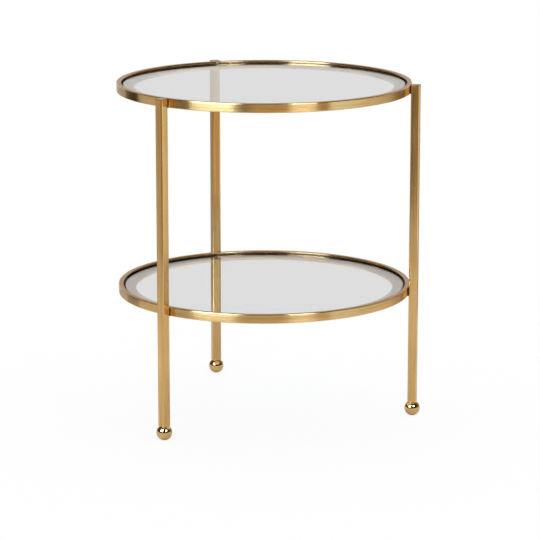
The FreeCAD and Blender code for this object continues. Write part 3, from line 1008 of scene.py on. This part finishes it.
def screw_template():
    """One countersunk screw with a hexagon socket. Its axis is at height 0."""
    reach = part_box("upper_joint_screws")[1].y - AXIS.y
    loops = [
        [Vector((0.0, 0.0, SCREW_FACE + SOCKET_DEPTH))],
        hexagon(SOCKET_FLATS, HARDWARE_SEGMENTS, SCREW_FACE + SOCKET_DEPTH),
        hexagon(SOCKET_FLATS, HARDWARE_SEGMENTS, SCREW_FACE),
        circle(SCREW_HEAD - SCREW_EDGE, HARDWARE_SEGMENTS, SCREW_FACE),
        circle(SCREW_HEAD, HARDWARE_SEGMENTS, SCREW_FACE + SCREW_EDGE),
        circle(SCREW_RADIUS, HARDWARE_SEGMENTS, SCREW_FACE + SCREW_HEAD - SCREW_RADIUS),
        circle(SCREW_RADIUS, HARDWARE_SEGMENTS, reach),
        [Vector((0.0, 0.0, reach))],
    ]
    return skin("screw_template", lying(loops))


def spacer_template():
    """One spacer plate with its hole and broken edges. Its middle is at height 0."""
    hole = size("upper_joint_inserts").z / 2 + SPACER_PLAY
    loops = [
        hole_loop(hole, RING_OUTSIDE),
        rounded_square(LEG_SIDE - 2 * SPACER_EDGE, SPACER_EDGE, RING_OUTSIDE),
        rounded_square(LEG_SIDE, SPACER_EDGE, RING_OUTSIDE + SPACER_EDGE),
        rounded_square(LEG_SIDE, SPACER_EDGE, LEG_INSIDE - SPACER_EDGE),
        rounded_square(LEG_SIDE - 2 * SPACER_EDGE, SPACER_EDGE, LEG_INSIDE),
        hole_loop(hole, LEG_INSIDE),
    ]
    return skin("spacer_template", lying(loops), closed=True)


def build_copies(tree, name, template, node, slot, paint, count=LEGS, turn=LEG_ANGLES["right"]):
    """Copies of a template round each tier's ring, as one piece a tier. The template goes."""
    for tier in TIERS:
        piece = grow(f"{tier}_{name}", tree, {
            "Template": template,
            "Count": count,
            "Turn": turn,
            "Axis Y": AXIS.y,
            "Height": middle(f"{tier}_{node}").z,
            "Material": paint,
        })
        paint_with(shade(piece), paint)
        hand_over(piece, "frame", slot, f"{tier}_{node}")
    bpy.data.objects.remove(template)


# ---------------------------------------------------------------- legs


def build_legs(leg_paint, cap_paint, ball_paint):
    for name, angle in LEG_ANGLES.items():
        turned = at_angle(angle) @ Matrix.Translation((LEG_REACH, 0.0, 0.0))
        build_leg(name, turned, leg_paint)
        build_cap(name, turned, cap_paint)
        build_ball(name, turned, ball_paint)


def build_leg(name, turned, paint):
    """Square tube with its ends broken by a hair."""
    low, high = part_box(f"{name}_leg")
    bore = LEG_SIDE - 2 * LEG_WALL
    loops = [
        rounded_square(LEG_SIDE - 2 * SEAM_EDGE, LEG_CORNER, low.z),
        rounded_square(LEG_SIDE, LEG_CORNER, low.z + SEAM_EDGE),
        rounded_square(LEG_SIDE, LEG_CORNER, high.z - SEAM_EDGE),
        rounded_square(LEG_SIDE - 2 * SEAM_EDGE, LEG_CORNER, high.z),
        rounded_square(bore, BORE_CORNER, high.z),
        rounded_square(bore, BORE_CORNER, low.z),
    ]
    leg = skin(f"{name}_leg_tube", loops, closed=True)
    leg.data.transform(turned)
    paint_with(shade(leg), paint)
    hand_over(leg, "frame", "brushed_brass", f"{name}_leg")


def build_cap(name, turned, paint):
    """The plate that closes the leg, with a hairline seam under it and a broken upper edge."""
    low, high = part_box(f"{name}_leg_cap")
    loops = [
        rounded_square(LEG_SIDE - 2 * SEAM_EDGE, LEG_CORNER, low.z),
        rounded_square(LEG_SIDE, LEG_CORNER, low.z + SEAM_EDGE),
    ]
    for outwards, rise in arc(CAP_EDGE, 0, 90, CORNER_STEPS):
        side = LEG_SIDE - 2 * (CAP_EDGE - outwards)
        loops.append(rounded_square(side, LEG_CORNER, high.z - CAP_EDGE + rise))
    cap = skin(f"{name}_leg_cap_plate", loops)
    cap.data.transform(turned)
    paint_with(shade(cap), paint)
    hand_over(cap, "frame", "brushed_brass", f"{name}_leg_cap")


def build_ball(name, turned, paint):
    """A ball with a flat seat turned on its top."""
    low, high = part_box(f"{name}_foot_ball")
    radius = (high.x - low.x) / 2
    seat = math.degrees(math.asin((high.z - low.z - radius) / radius))
    profile = [(x, radius + z) for x, z in arc(radius, -90, seat, BALL_RINGS)]
    profile[0] = (0.0, 0.0)
    profile.append((0.0, high.z))
    ball = skin(f"{name}_foot_ball_turned", profile_loops(profile, BALL_SEGMENTS))
    ball.data.transform(turned)
    paint_with(shade(ball), paint)
    hand_over(ball, "frame", "polished_brass", f"{name}_foot_ball")


# ---------------------------------------------------------------- making the table


ring_brass = brushed_brass(
    "brushed brass, round", "round", BRUSHED_TONES, roughness=0.23, drawn=1.0, evenness=0.08
)
# The rings' inner faces take the darker plate tones: painted shade.
inner_brass = brushed_brass(
    "brushed brass, inside", "round", SHADED_PLATE_TONES, roughness=0.2, drawn=0.6, evenness=0.08
)
leg_brass = brushed_brass(
    "brushed brass, upright", "upright", BRUSHED_TONES, roughness=0.22, drawn=0.2, evenness=0.12
)
plate_brass = satin_brass("satin brass")
ball_brass = polished_brass("polished brass")
glass = clear_glass("clear glass")
glass_edge = ground_glass("ground glass edge")
bumper = clear_bumper("clear bumper")
steel = zinc_steel("zinc-plated steel", ZINC_TONES)
yellow_steel = zinc_steel("yellow zinc-plated steel", YELLOW_ZINC_TONES)
plastic = dark_spacer("black plastic")

swept_ring = ring_tree()
copies = copies_tree()
build_rings(swept_ring, ring_brass, plate_brass, inner_brass)
build_ledges(swept_ring, ring_brass, plate_brass)
build_glass(glass, glass_edge)
build_copies(copies, "bumpers", pad_template(), "glass_pads", "clear_bumper", bumper, PADS, PAD_TURN)
build_copies(copies, "bushes", bush_template(), "joint_bushes", "zinc_steel", yellow_steel)
build_copies(copies, "screws", screw_template(), "joint_screws", "zinc_steel", yellow_steel)
build_copies(copies, "spacers", spacer_template(), "joint_spacers", "dark_spacer", plastic)
build_legs(leg_brass, plate_brass, ball_brass)

for tier in TIERS:
    paint_with(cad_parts[f"{tier}_joint_inserts"], steel)
for leg in LEG_ANGLES:
    paint_with(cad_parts[f"{leg}_foot_plug"], steel)
    paint_with(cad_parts[f"{leg}_foot_stud"], steel)

floor(pale_floor("pale floor"))
studio_world()
studio_lamps()
stand_camera()
bpy.context.scene.view_settings.view_transform = "Standard"
